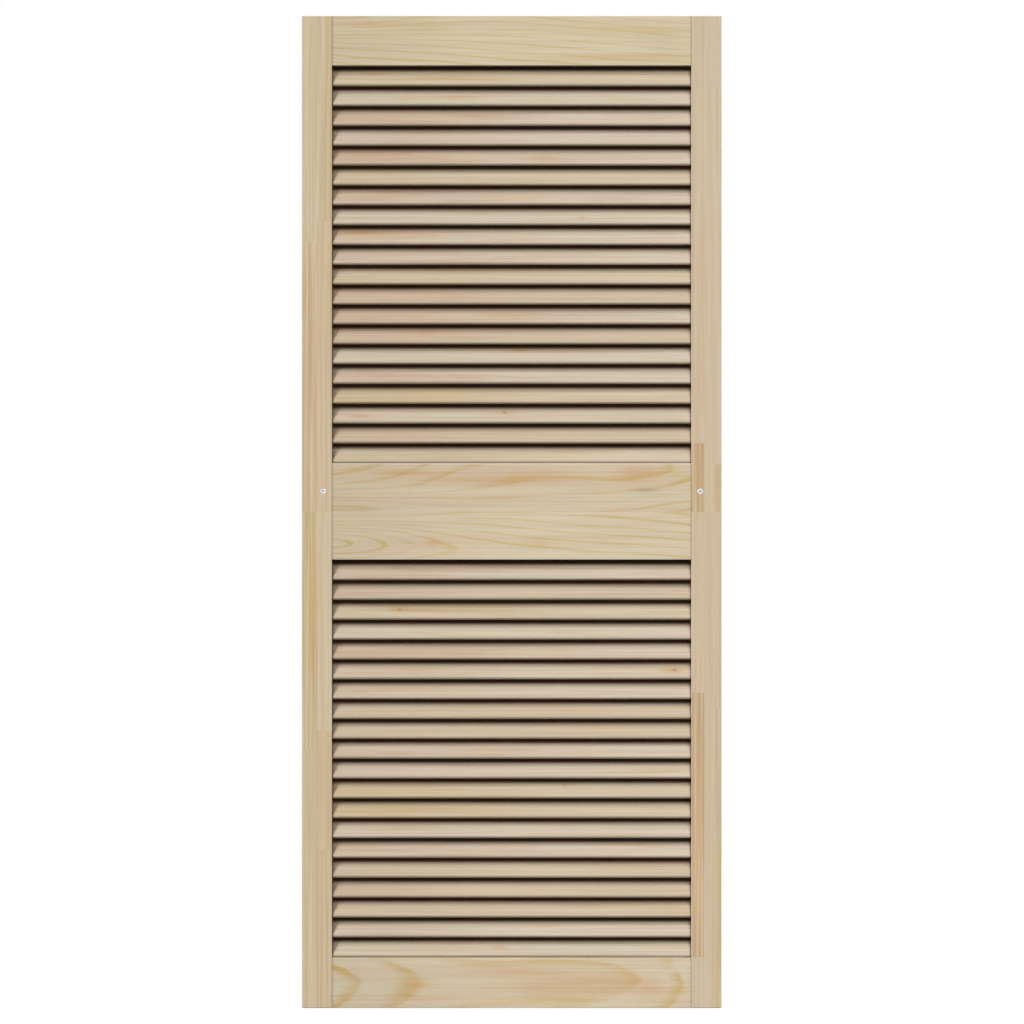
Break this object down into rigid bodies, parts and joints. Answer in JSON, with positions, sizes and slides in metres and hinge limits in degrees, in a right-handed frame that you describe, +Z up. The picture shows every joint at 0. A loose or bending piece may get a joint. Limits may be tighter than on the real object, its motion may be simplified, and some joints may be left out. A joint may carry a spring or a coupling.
{
  "type": "louvred cabinet door",
  "caption": "Tall pine cabinet door: fixed sloping slats above and below a middle rail, held between stiles and rails with mortise and tenon joints.",
  "frame": {"origin": "middle of the hinge edge, the outer face of the left stile, at half the door's height and thickness", "axes": "+X from the hinge edge to the closing edge, +Y towards the back, +Z up"},
  "size_m": [0.592, 0.021, 1.4],
  "materials": {
    "frame_pine": "planed and sanded pine, unfinished",
    "slat_pine": "planed and sanded pine, unfinished",
    "screw_steel": "bright zinc plated screw heads"
  },
  "bodies": {
    "root": {"left_stile": "frame_pine", "right_stile": "frame_pine", "top_rail": "frame_pine", "middle_rail": "frame_pine", "bottom_rail": "frame_pine", "upper_slat_01": "slat_pine", "upper_slat_02": "slat_pine", "upper_slat_03": "slat_pine", "upper_slat_04": "slat_pine", "upper_slat_05": "slat_pine", "upper_slat_06": "slat_pine", "upper_slat_07": "slat_pine", "upper_slat_08": "slat_pine", "upper_slat_09": "slat_pine", "upper_slat_10": "slat_pine", "upper_slat_11": "slat_pine", "upper_slat_12": "slat_pine", "upper_slat_13": "slat_pine", "upper_slat_14": "slat_pine", "upper_slat_15": "slat_pine", "upper_slat_16": "slat_pine", "upper_slat_17": "slat_pine", "upper_slat_18": "slat_pine", "upper_slat_19": "slat_pine", "upper_slat_20": "slat_pine", "lower_slat_01": "slat_pine", "lower_slat_02": "slat_pine", "lower_slat_03": "slat_pine", "lower_slat_04": "slat_pine", "lower_slat_05": "slat_pine", "lower_slat_06": "slat_pine", "lower_slat_07": "slat_pine", "lower_slat_08": "slat_pine", "lower_slat_09": "slat_pine", "lower_slat_10": "slat_pine", "lower_slat_11": "slat_pine", "lower_slat_12": "slat_pine", "lower_slat_13": "slat_pine", "lower_slat_14": "slat_pine", "lower_slat_15": "slat_pine", "lower_slat_16": "slat_pine", "lower_slat_17": "slat_pine", "lower_slat_18": "slat_pine", "lower_slat_19": "slat_pine", "lower_slat_20": "slat_pine"}
  },
  "joints": []
}
